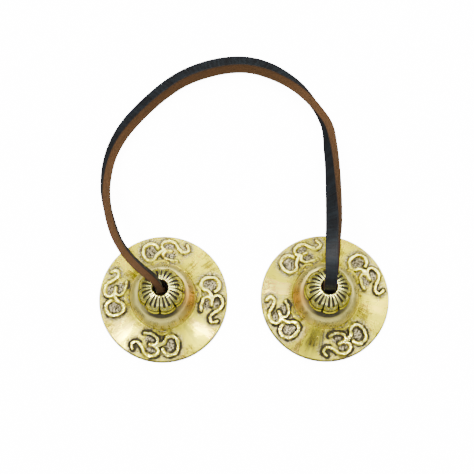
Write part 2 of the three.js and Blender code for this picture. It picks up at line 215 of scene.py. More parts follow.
def strap_section(face_points, edge_points, corner_points):
    """Points round the strap's section: across it, through it, and 1 on a cut edge or -1 on a face."""
    right_corners = [(flat_half, -edge_half), (flat_half, edge_half)]
    left_corners = [(-flat_half, edge_half), (-flat_half, -edge_half)]
    corners = right_corners + left_corners
    points = []
    for quarter, (x, y) in enumerate(corners):
        next_x, next_y = corners[(quarter + 1) % 4]
        end_angle = quarter * pi / 2
        for angle in np.linspace(end_angle - pi / 2, end_angle, corner_points, endpoint=False):
            points.append((x + strap_corner * cos(angle), y + strap_corner * sin(angle), 0))
        on_edge = quarter % 2 == 0
        for t in np.linspace(0, 1, edge_points if on_edge else face_points, endpoint=False):
            across = x + (next_x - x) * t + strap_corner * cos(end_angle)
            through_it = y + (next_y - y) * t + strap_corner * sin(end_angle)
            points.append((across, through_it, 1 if on_edge else -1))
    return np.array(points)


section = strap_section(face_points=16, edge_points=12, corner_points=4)
beyond_face = np.abs(section[:, 0]) > flat_half + 0.1
raw_sides = (beyond_face & np.roll(beyond_face, -1)).astype(int)

# The strip was cut by hand, so it isn't equally thick all along. It is thinnest where it was pulled
# through the left hole, and broadest round the loop, where it lies flattened on the table. The second
# number is its size there against its usual one.
strap_swell = [
    (0, 0.74), (0.03, 0.76), (0.06, 0.84), (0.1, 0.87), (0.16, 0.92), (0.22, 0.95), (0.28, 1.02),
    (0.31, 1.13), (0.35, 1.21), (0.4, 1.21), (0.49, 1.32), (0.55, 1.28), (0.58, 1.26), (0.61, 1.12),
    (0.64, 1.08), (0.67, 0.97), (0.71, 1.11), (0.76, 1.07), (0.82, 1.09), (0.88, 1.09), (0.94, 1), (1, 0.9),
]
ring_spacing = 0.5
table_gap = 0.05
fibre_height = 0.06
edge_hollow = 0.08
cut_unevenness = 0.06
face_bulge = 0.05
fold_height = 0.025


def cover_in_leather(piece, rings):
    """Black leather on both wide faces, and the raw cut on both edges and at the ends."""
    piece.data.materials.append(black_leather)
    piece.data.materials.append(raw_leather)
    slots = np.append(np.tile(raw_sides, rings - 1), [1, 1])
    piece.data.polygons.foreach_set("material_index", slots)


def strap_piece(name, start, end):
    """One stretch of the strap between two shares of its length, with its fibres and folds raised."""
    rings = int((end - start) * strap_length / ring_spacing) + 1
    share = np.linspace(start, end, rings)
    middle, width, face = strap_frames(share)
    along = (share * strap_length)[:, None]
    across, through_it, side = (np.broadcast_to(column, (rings, len(section))) for column in section.T)
    edge_share = (side > 0) * np.clip(1 - (through_it / edge_half) ** 6, 0, 1)
    face_share = (side < 0) * np.clip(1 - (across / flat_half) ** 8, 0, 1)
    coarse_fibres = ripple(across * 2, through_it * 4, along * 1.1, 3)
    fine_fibres = ripple(across, through_it * 7, along * 3.1, 4)
    fibres = coarse_fibres + 0.6 * fine_fibres
    unevenness = ripple(across * 0.1, through_it * 0.1, along * 0.22, 5)
    folds = ripple(across * 0.3, 0, along * 2.6, 6)
    size = np.interp(share, *np.array(strap_swell).T)[:, None]
    edge_relief = edge_share * (fibre_height * fibres - edge_hollow)
    grown_across = np.sign(across) * (edge_relief + cut_unevenness * unevenness)
    grown_through = np.sign(through_it) * face_share * (face_bulge + fold_height * folds)
    rows = middle[:, None] + width[:, None] * (size * across + grown_across)[..., None]
    rows = rows + face[:, None] * (size * through_it + grown_through)[..., None]
    rows[..., 2] = np.maximum(rows[..., 2], table_gap)
    piece = grid_mesh(name, rows, capped=True)
    note(piece, "leather_mm", np.stack([across, through_it, np.broadcast_to(along, across.shape)], -1))
    cover_in_leather(piece, rings)
    return piece


def paint(hex_colour):
    """The linear colour of an sRGB hex value."""
    parts = [int(hex_colour[i:i + 2], 16) / 255 for i in (1, 3, 5)]
    return (*[p / 12.92 if p <= 0.04045 else ((p + 0.055) / 1.055) ** 2.4 for p in parts], 1)


def add(tree, kind, inputs=(), **settings):
    """Adds one node. An input is a value or another node's socket, by name or number."""
    made = tree.nodes.new(kind)
    for name, value in settings.items():
        setattr(made, name, value)
    for socket, value in dict(inputs).items():
        if isinstance(value, bpy.types.NodeSocket):
            tree.links.new(value, made.inputs[socket])
        else:
            made.inputs[socket].default_value = value
    return made


def new_material(name):
    """An empty node material: the material, its tree and its Principled shader."""
    material = bpy.data.materials.new(name)
    material.use_nodes = True
    return material, material.node_tree, material.node_tree.nodes["Principled BSDF"]


# Vegetable-tanned leather, drum-dyed black and glazed: a dull bluish sheen, a grain of 0.3 mm, and fine
# lines about 1 mm apart across the strap where it has been bent. Its places are in millimetres, so a
# noise's scale is how many of its grains go into one.
black_leather, tree, shader = new_material("bridle_leather_dyed_black")
place = add(tree, "ShaderNodeAttribute", attribute_name="leather_mm").outputs["Vector"]
lines_place = add(tree, "ShaderNodeVectorMath", {0: place, 1: (0.12, 0.12, 1)}, operation="MULTIPLY")
lines = add(tree, "ShaderNodeTexNoise", {"Vector": lines_place.outputs[0], "Scale": 1, "Detail": 3})
grain = add(tree, "ShaderNodeTexVoronoi", {"Vector": place, "Scale": 3.2}, feature="F1")
clouds = add(tree, "ShaderNodeTexNoise", {"Vector": place, "Scale": 0.12, "Detail": 2})
mixed = add(tree, "ShaderNodeMath", {0: lines.outputs["Fac"], 1: 1.6, 2: clouds.outputs["Fac"]},
            operation="MULTIPLY_ADD")
mixed = add(tree, "ShaderNodeMapRange", {"Value": mixed.outputs[0], "From Min": 1.05, "From Max": 1.6})
tone = add(tree, "ShaderNodeValToRGB", {"Fac": mixed.outputs["Result"]})
tone.color_ramp.elements[0].color = paint("#090A0C")
tone.color_ramp.elements[1].color = paint("#151A1E")
height = add(tree, "ShaderNodeMath", {0: grain.outputs["Distance"], 1: 0.4}, operation="MULTIPLY")
height = add(tree, "ShaderNodeMath", {0: lines.outputs["Fac"], 1: 2, 2: height.outputs["Value"]},
             operation="MULTIPLY_ADD")
bump = add(tree, "ShaderNodeBump", {"Strength": 0.7, "Distance": 0.16 * mm, "Height": height.outputs[0]})
gloss = add(tree, "ShaderNodeMapRange", {"Value": lines.outputs["Fac"], "To Min": 0.4, "To Max": 0.7})
tree.links.new(tone.outputs["Color"], shader.inputs["Base Color"])
tree.links.new(gloss.outputs["Result"], shader.inputs["Roughness"])
tree.links.new(bump.outputs["Normal"], shader.inputs["Normal"])
shader.inputs["IOR"].default_value = 1.45
shader.inputs["Specular IOR Level"].default_value = 0.27

# The raw cut edge of the same hide: undyed brown fibres, 0.7 mm thick, that run slantwise, rough and matt,
# and darker where the black dye crept in at the corners.
raw_leather, tree, shader = new_material("raw_cut_leather_edge")
place = add(tree, "ShaderNodeAttribute", attribute_name="leather_mm").outputs["Vector"]
slant = add(tree, "ShaderNodeMapping", {"Vector": place, "Rotation": (radians(35), 0, 0),
                                        "Scale": (1, 3, 0.5)})
fibres = add(tree, "ShaderNodeTexNoise", {"Vector": slant.outputs["Vector"], "Scale": 1.4, "Detail": 5,
                                          "Roughness": 0.65})
clouds = add(tree, "ShaderNodeTexNoise", {"Vector": place, "Scale": 0.2, "Detail": 2})
tone = add(tree, "ShaderNodeValToRGB", {"Fac": fibres.outputs["Fac"]})
tone.color_ramp.elements[0].position = 0.3
tone.color_ramp.elements[0].color = paint("#2C2012")
tone.color_ramp.elements[1].position = 0.72
tone.color_ramp.elements[1].color = paint("#533B24")
redder = add(tree, "ShaderNodeMix", {"Factor": clouds.outputs["Fac"], "A": tone.outputs["Color"],
                                     "B": paint("#4C321B")}, data_type="RGBA")
parts = add(tree, "ShaderNodeSeparateXYZ", {0: place})
toward_face = add(tree, "ShaderNodeMath", {0: parts.outputs["Y"]}, operation="ABSOLUTE")
crept = add(tree, "ShaderNodeMath", {0: fibres.outputs["Fac"], 1: 0.9, 2: toward_face.outputs[0]},
            operation="MULTIPLY_ADD")
crept = add(tree, "ShaderNodeMapRange", {"Value": crept.outputs[0], "From Min": 2.1, "From Max": 2.75})
dyed = add(tree, "ShaderNodeMix", {"Factor": crept.outputs["Result"], "A": redder.outputs["Result"],
                                   "B": paint("#101213")}, data_type="RGBA")
bump = add(tree, "ShaderNodeBump", {"Strength": 0.8, "Distance": 0.3 * mm, "Height": fibres.outputs["Fac"]})
tree.links.new(dyed.outputs["Result"], shader.inputs["Base Color"])
tree.links.new(bump.outputs["Normal"], shader.inputs["Normal"])
shader.inputs["Roughness"].default_value = 0.92
shader.inputs["IOR"].default_value = 1.45
shader.inputs["Specular IOR Level"].default_value = 0.2

# The strap's skin is made in three stretches, one for each place where it bends: at the left knob, round
# the loop, and at the right knob. Both ends go on down into the knobs' holes.
left_cut = 0.2
right_cut = 0.84
left_arch_end = 0.11
right_arch_end = 0.9
into_hole = 7 / strap_length
stretches = [
    ("strap_left_end", -into_hole, left_cut),
    ("strap_loop", left_cut, right_cut),
    ("strap_right_end", right_cut, 1 + into_hole),
]
straps = {}
for name, start, end in stretches:
    straps[name] = strap_piece(name, start, end)


def spot(share):
    """One point of the strap's middle, in metres."""
    return Vector(strap_point(np.array([share]))[0] * mm)


left_mouth = Vector((-knob_spacing / 2, 0, strap_start)) * mm
right_mouth = Vector((knob_spacing / 2, 0, strap_start)) * mm
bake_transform(straps["strap_left_end"], "left_knot", "strap_left", start=left_mouth, end=spot(left_arch_end))
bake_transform(straps["strap_right_end"], "right_knot", "strap_right", start=right_mouth, end=spot(right_arch_end))
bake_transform(straps["strap_loop"])
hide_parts("strap_left_half")
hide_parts("strap_left_half", "strap_right_half")
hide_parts("strap_right_half")
exits = {"strap_left_end": left_mouth, "strap_loop": spot(left_cut), "strap_right_end": right_mouth}
for name, start, end in stretches:
    shares = np.linspace(start, end, 60)
    (strap_point(shares) * mm).tolist()

# The bells
# Each bell is one brass casting, turned on a lathe over its flange and dome, with the lotus knob and the
# four raised signs left as they came from the mould. One casting serves for both, at different turns.
bell_radius = 32.5
rim_thickness = 2.6
rim_rounding = 0.5
seat_inner = 29
flange_foot = 17.2
flange_top = 6.2
flange_under = 3.7
groove_radius = 16.7
dome_radius = 16.2
dome_top = 16.1
neck_radius = 9
lotus_base = 17.5
lip_radius = 11.9
lip_level = 19
petal_edge_radius = 10.9
petal_edge = 21.2
crown_radius = 4.4
mouth_height = 27.5
hole_radius = 3.79
hollow_radius = 13.4
hollow_top = 13.6
petal_turn = radians(0.5)

# Points round a bell, as many as keep its casting under 200,000 triangles.
bell_steps = 528


def bow(start, middle, end, count):
    """Points on a curve that leaves start toward middle and reaches end. The last point is left out."""
    t = np.linspace(0, 1, count, endpoint=False)[:, None]
    start, middle, end = (np.array(p, float) for p in (start, middle, end))
    return start * (1 - t) ** 2 + 2 * middle * t * (1 - t) + end * t**2


def run(start, end, count):
    """Points on a straight line. The last point is left out."""
    middle = (np.array(start, float) + np.array(end, float)) / 2
    return bow(start, middle, end, count)


# The outline, as distance from the axis and height: seat, rim, flange, groove, dome, neck, lip, petals,
# hole, and the hollow inside.
bell_outline = [
    run((seat_inner, 0), (bell_radius - rim_rounding, 0), 3),
    bow((bell_radius - rim_rounding, 0), (bell_radius, 0), (bell_radius, rim_rounding), 3),
    run((bell_radius, rim_rounding), (bell_radius, rim_thickness - rim_rounding), 3),
    bow((bell_radius, rim_thickness - rim_rounding), (bell_radius, rim_thickness),
        (bell_radius - rim_rounding, rim_thickness), 3),
    bow((bell_radius - rim_rounding, rim_thickness), (bell_radius * 0.68, 3.14),
        (flange_foot, flange_top), 56),
    run((flange_foot, flange_top), (groove_radius, 5.7), 3),
    run((groove_radius, 5.7), (dome_radius, flange_top), 3),
    bow((dome_radius, flange_top), (16.7, 12.34), (13.28, 15.1), 14),
    bow((13.28, 15.1), (11.02, dome_top), (neck_radius, dome_top), 8),
    run((neck_radius, dome_top), (neck_radius, lotus_base), 3),
    bow((neck_radius, lotus_base), (10.6, lotus_base), (lip_radius - 0.25, 18.6), 5),
    bow((lip_radius - 0.25, 18.6), (lip_radius + 0.15, 19.1), (lip_radius - 0.5, 19.5), 5),
    bow((lip_radius - 0.5, 19.5), (10.7, 19.9), (petal_edge_radius - 0.35, 20.1), 4),
    bow((petal_edge_radius - 0.35, 20.1), (petal_edge_radius + 0.2, 20.6),
        (petal_edge_radius - 0.1, 21.5), 5),
    bow((petal_edge_radius - 0.1, 21.5), (9.4, 26.3), (crown_radius, mouth_height), 40),
    bow((crown_radius, mouth_height), (hole_radius, mouth_height), (hole_radius, 26.9), 5),
    run((hole_radius, 26.9), (hole_radius, hollow_top), 4),
    run((hole_radius, hollow_top), (9.65, hollow_top), 3),
    bow((9.65, hollow_top), (hollow_radius, hollow_top), (hollow_radius, 9.64), 5),
    run((hollow_radius, 9.64), (hollow_radius, flange_under), 3),
    bow((hollow_radius, flange_under), (16.4, 1.04), (seat_inner, 0), 10),
]
outline = np.vstack(bell_outline)


def outline_normals(points):
    """The outward direction at each point of a closed outline that runs up its outer side."""
    ahead = np.roll(points, -1, axis=0) - np.roll(points, 1, axis=0)
    return unit(np.stack([ahead[:, 1], -ahead[:, 0]], -1))


# The raised sign, in strokes: two curls, a loop, a crescent and a dot. The first number of a point runs
# sideways and the second out from the bell's axis. The last number is half a stroke's width. The pitted
# floors are the hollows that the curls enclose: middle, and half the size each way.
sign_strokes = [
    ([(-8, 18.4), (-5, 18.7), (-2.1, 20.1), (-1.1, 22.2), (-2.6, 24.1), (-5.4, 24)], 1.05),
    ([(-2.9, 24.4), (-0.8, 26.2), (-1.2, 28.6), (-4.4, 29.8), (-7.4, 28.4), (-9.3, 24.9), (-11.8, 22.8),
      (-14.1, 23.9), (-13.7, 26.4)], 1.1),
    ([(-1.2, 24.6), (1.9, 22.6), (3.2, 20.3), (5.4, 19.4), (7.8, 20.5), (9, 23.6), (8.4, 27), (5.6, 28.8),
      (2.8, 28.1), (1.4, 26.2)], 1.15),
    ([(-3.5, 17.3), (-1.7, 18.3), (0.6, 18.7), (2.8, 18.1), (4.3, 17.1)], 0.7),
    ([(0, 16.9), (1, 16.9)], 0.55),
]
pitted_floors = [(5.1, 24, 3.4, 4.6), (-4.2, 27, 4.2, 2.6), (-5, 21.6, 3.2, 2)]
sign_angles = [radians(a) for a in (-90, 6.5, 96.5, 182.5)]
sign_inner = 14
sign_half_width = 17
stroke_height = 0.95
stroke_rounding = 0.8
crest_depth = 0.55
crest_fade = 0.35

# A dark band lies along the foot of each stroke: patina, widened where the flange is dirtier and toward the
# front by painted shade, and fading beyond. The ground is pitted inside the curls, and round the sign as far
# as its dirt reaches.
dark_band_from_stroke = 0.1
dark_band_half = 0.1
dark_band_widening = 0.3
dark_band_fade = 0.42
outline_cut = 0.18
pit_depth = 0.09
pitted_reach = 1.9


def from_line(x, y, line):
    """The least distance from points to a line of short straight runs."""
    nearest = np.full(x.shape, 1e9)
    for (ax, ay), (bx, by) in zip(line, line[1:]):
        dx, dy = bx - ax, by - ay
        t = np.clip(((x - ax) * dx + (y - ay) * dy) / (dx * dx + dy * dy), 0, 1)
        nearest = np.minimum(nearest, np.hypot(x - ax - t * dx, y - ay - t * dy))
    return nearest


def signs(x, y, dirt_and_front_shade):
    """The four signs: their height, their crests (worn, and lit later with a painted highlight), dark outlines of
    patina and painted shade, and the pitted ground in and round them.

    The outlines widen where the dirt and painted front shade given as the third argument are higher.
    """
    raised = np.zeros(x.shape)
    crest = np.zeros(x.shape)
    outlined = np.zeros(x.shape)
    enclosed = np.zeros(x.shape)
    ragged = 0.2 * ripple(x * 2.3, y * 2.3, 0, 21) + 0.16 * ripple(x * 1.1, y * 1.1, 0, 22)
    patchy = np.clip(0.8 + 0.6 * ripple(x * 0.8, y * 0.8, 0, 23), 0, 1)
    for angle in sign_angles:
        out = (cos(angle), sin(angle))
        sideways = -out[1] * x + out[0] * y
        outward = out[0] * x + out[1] * y
        near = (outward > sign_inner) & (np.abs(sideways) < sign_half_width)
        u, v = sideways[near], outward[near]
        gaps = []
        for points, half in sign_strokes:
            flat = [(px, py, 0) for px, py in points]
            line = through(flat, 8)[:, :2] if len(points) > 2 else np.array(points)
            gaps.append(from_line(u, v, line) - half + ragged[near])
        curls_gap = np.min(gaps[:3], axis=0)
        gap = np.min(gaps, axis=0)
        top = np.clip(-gap / stroke_rounding, 0, 1)
        raised[near] = np.maximum(raised[near], np.sqrt(1 - (1 - top) ** 2))
        crest[near] = np.maximum(crest[near], np.clip((-gap - crest_depth) / crest_fade, 0, 1))
        # The dark outline: patina, widened toward the front of the bell by painted shade.
        for rim, share in ((curls_gap, 1), (gap, 0.45)):
            from_band = np.abs(rim - dark_band_from_stroke) - dark_band_half - dark_band_widening * dirt_and_front_shade[near]
            edge = np.exp(-((np.maximum(from_band, 0) / dark_band_fade) ** 2))
            outlined[near] = np.maximum(outlined[near], share * edge * patchy[near])
        pitted_round = np.clip(0.7 + 0.7 * ripple(u * 0.45, v * 0.45, 0, 25), 0, 1)
        pitted_round = pitted_round * np.exp(-((gap / pitted_reach) ** 2)) * (gap > 0)
        enclosed[near] = np.maximum(enclosed[near], pitted_round)
        for middle_u, middle_v, half_u, half_v in pitted_floors:
            inside = np.clip(1.5 - ((u - middle_u) / half_u) ** 2 - ((v - middle_v) / half_v) ** 2, 0, 1)
            enclosed[near] = np.maximum(enclosed[near], inside * np.clip(gap / 0.3, 0, 1))
    return raised, crest, outlined, enclosed


petals = 8
slots_per_petal = 3
flute_depth = 0.85
petal_groove_depth = 0.5
deeper_at_edge = 0.4
drawn_in_depth = 0.8
casting_unevenness = 0.05


def lotus(angle, radius):
    """The depth of the flutes and of the grooves between petals, and how far the edges draw in there."""
    petal = 2 * pi / petals
    slot = petal / slots_per_petal
    from_boundary = np.abs((angle + petal / 2) % petal - petal / 2)
    across = np.abs((angle + slot / 2) % slot - slot / 2) * radius
    share = np.clip((radius - crown_radius) / (petal_edge_radius - crown_radius), 0, 1)
    flute_half = 0.36 + 0.58 * share
    rounded_end = np.sqrt(np.clip((0.9 - share) / 0.09, 0, 1))
    start = np.clip((share - 0.05) / 0.08, 0, 1)
    inside = np.clip((flute_half * rounded_end - across) / 0.2, 0, 1)
    flute = (from_boundary > slot / 2) * inside * inside * (3 - 2 * inside) * start
    groove_half = 0.2 + 0.36 * share
    groove = np.clip(1 - from_boundary * radius / groove_half, 0, 1) * np.clip((share - 0.02) / 0.1, 0, 1)
    drawn_in = np.clip(1 - from_boundary / (petal / 2), 0, 1) ** 2.4
    return flute, np.sqrt(groove), drawn_in


# Sectors of each flange that carry a painted highlight of the lamps' reflection and are made smoother (above 0),
# or a painted grey reflection (below 0): from and to which angle, in degrees round the bell as it lies, and how
# much.
painted_reflection_sectors = {
    "left": [
        (198, 206, 0.6), (206, 228, 0.8), (230, 243, 0.6), (291, 297, 0.5), (303, 314, -0.5),
        (316, 328, 1), (331, 336, -0.3),
    ],
    "right": [
        (140, 158, 0.4), (158, 178, 1), (222, 233, 0.5), (234, 244, 1), (246, 268, -1), (335, 358, 0.45),
    ],
}
sector_fade = 2.5


def painted_reflection_tints(side, bearing, radius):
    """How much painted highlight and painted grey reflection the flange has at points round it."""
    degrees = np.degrees(bearing) % 360 + 1.5 * ripple(radius * 0.5, 0, bearing * 9, 31)
    amount = 0 * degrees
    for start, end, strength in painted_reflection_sectors[side]:
        past_start = np.clip((degrees - start) / sector_fade, 0, 1)
        before_end = np.clip((end - degrees) / sector_fade, 0, 1)
        amount = amount + strength * (past_start * before_end)
    amount = amount * np.clip((radius - 16.6) / 2, 0, 1)
    return np.maximum(amount, 0), np.maximum(-amount, 0) * np.clip((31.5 - radius) / 6, 0.3, 1)


def dirt_and_shade(radius, level, faces_down, bearing):
    """How dark each point is made: painted shade in the neck, hole and rim and under the lotus, a dark foot
    groove, and darker faces that point down.
    """
    # Painted shade in the neck under the lotus.
    in_neck = (level > dome_top - 0.5) & (level < lip_level) & (radius < lip_radius)
    in_neck = in_neck & (radius > hole_radius + 1)
    # Painted shadow of the knob's lip on the dome's shoulder, deepest at the front.
    in_front = 0.6 - 0.4 * np.sin(bearing)
    under_lip = in_front * np.clip((15 - radius) / 2.4, 0, 1) * (level > 13) * (level < lotus_base)
    # Painted shade in the gap between the petals' edge and the lip.
    over_lip = np.exp(-(((radius - petal_edge_radius) / 0.35) ** 2)) * (level > 19.4) * (level < 20.5)
    at_foot = np.exp(-(((radius - groove_radius) / 0.55) ** 2)) * (level > 4)
    # Painted shade inside the hole.
    in_hole = (radius < hole_radius + 0.1) & (level > hollow_top)
    # Painted contact shade along the rim's front edge, and dark on the rim's outer wall all round.
    front_edge = np.clip((radius - bell_radius + 0.9) / 0.3, 0, 1) * np.clip(-1.6 * np.sin(bearing), 0, 1)
    rim_wall = (radius > bell_radius - 0.3) & (level < rim_thickness)
    at_rim = np.maximum(front_edge, rim_wall) * (radius > 30)
    shares = [
        (0.75, in_neck), (0.85, under_lip), (0.9, over_lip), (0.5, at_foot), (1.2, in_hole), (0.7, at_rim),
        (0.4, faces_down),
    ]
    most = 0
    for share, where in shares:
        most = np.maximum(most, share * where)
    return most


def bell_casting(side, bell_x, turn):
    """The whole skin of one bell, its outline carried round the axis and raised or cut where it is worked."""
    normals = outline_normals(outline)
    radius, level = outline[:, :1], outline[:, 1:]
    angle = np.linspace(0, 2 * pi, bell_steps, endpoint=False)[None, :]
    bearing = angle + turn
    x, y = radius * np.cos(angle), radius * np.sin(angle)
    on_flange = (radius > dome_radius + 0.4) & (level > rim_thickness - 0.01)
    on_dome = ((level > flange_top - 0.1) & (level < lotus_base) & (radius < dome_radius + 0.3)) * 1.0
    on_lotus = (level > lotus_base) & (radius > crown_radius - 0.6)
    on_petals = (level > petal_edge + 0.5) & (radius > crown_radius - 0.6)

    # Uneven dirt, with painted shade added toward the front of each bell, which widens and darkens the signs'
    # outlines and flanks.
    dirt_and_front_shade = np.clip(0.4 - 0.8 * np.sin(bearing) + 0.5 * ripple(x * 0.3, y * 0.3, 0, 24), 0, 1)
    raised, crest, outlined, enclosed = signs(x, y, dirt_and_front_shade)
    pits = ripple(x * 2.2, y * 2.2, 0, 11)
    worn = 1 + 0.12 * ripple(x * 0.9, y * 0.9, 0, 13)
    cut_in = outline_cut * outlined * (raised == 0)
    edge_fade = np.clip((bell_radius - radius) / 0.8, 0, 1)
    lift = on_flange * (stroke_height * raised * worn - cut_in + pit_depth * pits * enclosed) * edge_fade
    flute, groove, drawn_in = lotus(angle - petal_turn + 0 * radius, radius + 0 * angle)
    edge_near = np.clip((radius - 8.6) / 2, 0, 1)
    lift = lift - on_petals * flute_depth * flute
    lift = lift - on_lotus * (petal_groove_depth + deeper_at_edge * edge_near) * groove
    inward = on_lotus * edge_near * drawn_in_depth * drawn_in
    uneven = casting_unevenness * ripple(x * 0.25, y * 0.25, level * 0.25, 12) * (level > rim_thickness)
    radius_now = radius + normals[:, :1] * (lift + uneven) - inward
    level_now = level + normals[:, 1:] * (lift + uneven) + 0 * angle
    rows = np.stack([bell_x + radius_now * np.cos(bearing), radius_now * np.sin(bearing), level_now], -1)
    piece = grid_mesh(f"{side}_bell_casting", rows, closed_along=True)

    # Patina in the flutes, grooves and signs' feet, with painted shade added in the neck, hole, rim, under the
    # lotus and on the strokes' flanks.
    patina_shade_glint = np.maximum(on_flange * outlined * (0.62 + 0.38 * dirt_and_front_shade), on_petals * flute)
    patina_shade_glint = np.maximum(patina_shade_glint, on_lotus * np.clip(groove * 1.5, 0, 1))
    patina_shade_glint = np.maximum(patina_shade_glint, dirt_and_shade(radius, level, normals[:, 1:] < -0.3, bearing))
    flank = on_flange * (0.3 + 0.2 * dirt_and_front_shade) * (raised > 0.05) * (1 - crest)
    # Painted highlight on the petals' ridges and the signs' crests, which go below zero, over brass rubbed bright.
    ridge = on_petals * np.clip(1 - 3 * flute - 3 * groove, 0, 1)
    patina_shade_glint = np.maximum(patina_shade_glint, flank)
    patina_shade_glint = np.where(patina_shade_glint < 0.3, patina_shade_glint - np.maximum(on_flange * crest, ridge), patina_shade_glint)
    # The dome turns oranger on the side that faces the other bell.
    orange_side_at = radians(-10 if side == "left" else 190)
    orange_side = np.exp(-((((bearing - orange_side_at + pi) % (2 * pi) - pi) / 0.6) ** 2))
    # Painted wedges of the lamps' reflection on the flange, bright and grey.
    painted_glint, painted_grey_reflection = painted_reflection_tints(side, bearing + 0 * radius, radius + 0 * angle)
    orange_side_on_dome = orange_side * on_dome + 0 * painted_glint
    note(piece, "painted_reflection_tints", np.stack([painted_glint * on_flange, painted_grey_reflection * on_flange, orange_side_on_dome], -1))
    own_casting = 60 if side == "right" else 0
    note(piece, "casting_mm", np.stack([x, y, level + own_casting + 0 * angle], -1))
    note(piece, "patina_shade_dome_pits", np.stack([patina_shade_glint, on_dome + 0 * angle, on_flange * enclosed], -1))
    piece.data.materials.append(turned_brass)
    return piece


# Cast brass with much zinc, so pale and greenish, turned and then polished by hand. The lathe leaves rings
# about 0.45 mm apart that stretch its highlights outward, and the polishing leaves uneven sectors with strokes
# about 1 mm wide. The dome is burnished to a warmer gold, and dark patina stays in every recess, with painted
# shade added in the neck, hole and rim and under the lotus. Wedges of the lamps' reflection, bright and grey,
# and a highlight on the rubbed crests are painted into the colour.
turned_brass, tree, shader = new_material("cast_brass_turned_and_patinated")
place = add(tree, "ShaderNodeAttribute", attribute_name="casting_mm").outputs["Vector"]
patina_shade_dome_pits = add(tree, "ShaderNodeAttribute", attribute_name="patina_shade_dome_pits").outputs["Vector"]
patina_shade_glint, on_dome, enclosed = add(tree, "ShaderNodeSeparateXYZ", {0: patina_shade_dome_pits}).outputs
reflection_tints_and_orange_side = add(tree, "ShaderNodeAttribute", attribute_name="painted_reflection_tints").outputs["Vector"]
painted_glint, painted_grey_reflection, orange_side = add(tree, "ShaderNodeSeparateXYZ", {0: reflection_tints_and_orange_side}).outputs

# Patterns: rings round the axis, broad sectors and narrow strokes away from it, clouds and grit
flat_place = add(tree, "ShaderNodeVectorMath", {0: place, 1: (1, 1, 0)}, operation="MULTIPLY")
from_axis = add(tree, "ShaderNodeVectorMath", {0: flat_place.outputs["Vector"]}, operation="LENGTH")
direction = add(tree, "ShaderNodeVectorMath", {0: flat_place.outputs["Vector"]}, operation="NORMALIZE")
rings = add(tree, "ShaderNodeTexNoise", {"W": from_axis.outputs["Value"], "Scale": 2.2, "Detail": 3},
            noise_dimensions="1D")
outward = add(tree, "ShaderNodeVectorMath", {0: place, 1: (0.12, 0.12, 0.12)}, operation="MULTIPLY")
sweep = add(tree, "ShaderNodeVectorMath", {0: direction.outputs["Vector"], 1: (3, 3, 1),
                                           2: outward.outputs["Vector"]}, operation="MULTIPLY_ADD")
sectors = add(tree, "ShaderNodeTexNoise", {"Vector": sweep.outputs["Vector"], "Scale": 0.9, "Detail": 3,
                                           "Roughness": 0.7})
strokes = add(tree, "ShaderNodeVectorMath", {0: direction.outputs["Vector"], 1: (75, 75, 1),
                                             2: outward.outputs["Vector"]}, operation="MULTIPLY_ADD")
streaks = add(tree, "ShaderNodeTexNoise", {"Vector": strokes.outputs[0], "Scale": 0.4, "Detail": 3})
clouds = add(tree, "ShaderNodeTexNoise", {"Vector": place, "Scale": 0.12, "Detail": 3, "Roughness": 0.6})
grit = add(tree, "ShaderNodeTexNoise", {"Vector": place, "Scale": 1.5, "Detail": 4, "Roughness": 0.7})

# The flange's colour: uneven yellow, rosier in some sectors, paled where a painted highlight lies, and grey
# where a painted grey reflection lies
tone = add(tree, "ShaderNodeMath", {0: streaks.outputs["Fac"], 1: 0.5, 2: clouds.outputs["Fac"]},
           operation="MULTIPLY_ADD")
tone = add(tree, "ShaderNodeMath", {0: grit.outputs["Fac"], 1: 0.6, 2: tone.outputs["Value"]},
           operation="MULTIPLY_ADD")
brass = add(tree, "ShaderNodeValToRGB", {"Fac": tone.outputs["Value"]})
brass.color_ramp.elements[0].position = 0.9
brass.color_ramp.elements[0].color = paint("#8A7E0C")
brass.color_ramp.elements[1].position = 1
brass.color_ramp.elements[1].color = paint("#D8CC20")
rosy_share = add(tree, "ShaderNodeMapRange", {"Value": sectors.outputs["Fac"], "From Min": 0.5,
                                              "From Max": 0.7, "To Max": 0.45})
rosy = add(tree, "ShaderNodeMix", {"Factor": rosy_share.outputs["Result"], "A": brass.outputs["Color"],
                                   "B": paint("#D6AE34")}, data_type="RGBA")
# Painted highlight: the colour pales in the bright wedges.
glint_share = add(tree, "ShaderNodeMath", {0: painted_glint, 1: streaks.outputs["Fac"]}, operation="MULTIPLY")
glint_share = add(tree, "ShaderNodeMapRange", {"Value": glint_share.outputs["Value"], "From Min": 0.2,
                                            "From Max": 0.6})
glint_tint = add(tree, "ShaderNodeMix", {"Factor": glint_share.outputs["Result"], "A": rosy.outputs["Result"],
                                   "B": paint("#F2D65A")}, data_type="RGBA")
streaky = add(tree, "ShaderNodeMapRange", {"Value": streaks.outputs["Fac"], "From Min": 0.35,
                                           "From Max": 0.65, "To Min": 0.4, "To Max": 1})
# Painted grey reflection in the grey wedges.
grey_reflection_share = add(tree, "ShaderNodeMath", {0: painted_grey_reflection, 1: streaky.outputs["Result"]}, operation="MULTIPLY")
grey_reflection_tint = add(tree, "ShaderNodeMix", {"Factor": grey_reflection_share.outputs["Value"], "A": glint_tint.outputs["Result"],
                                    "B": paint("#3A3833")}, data_type="RGBA")

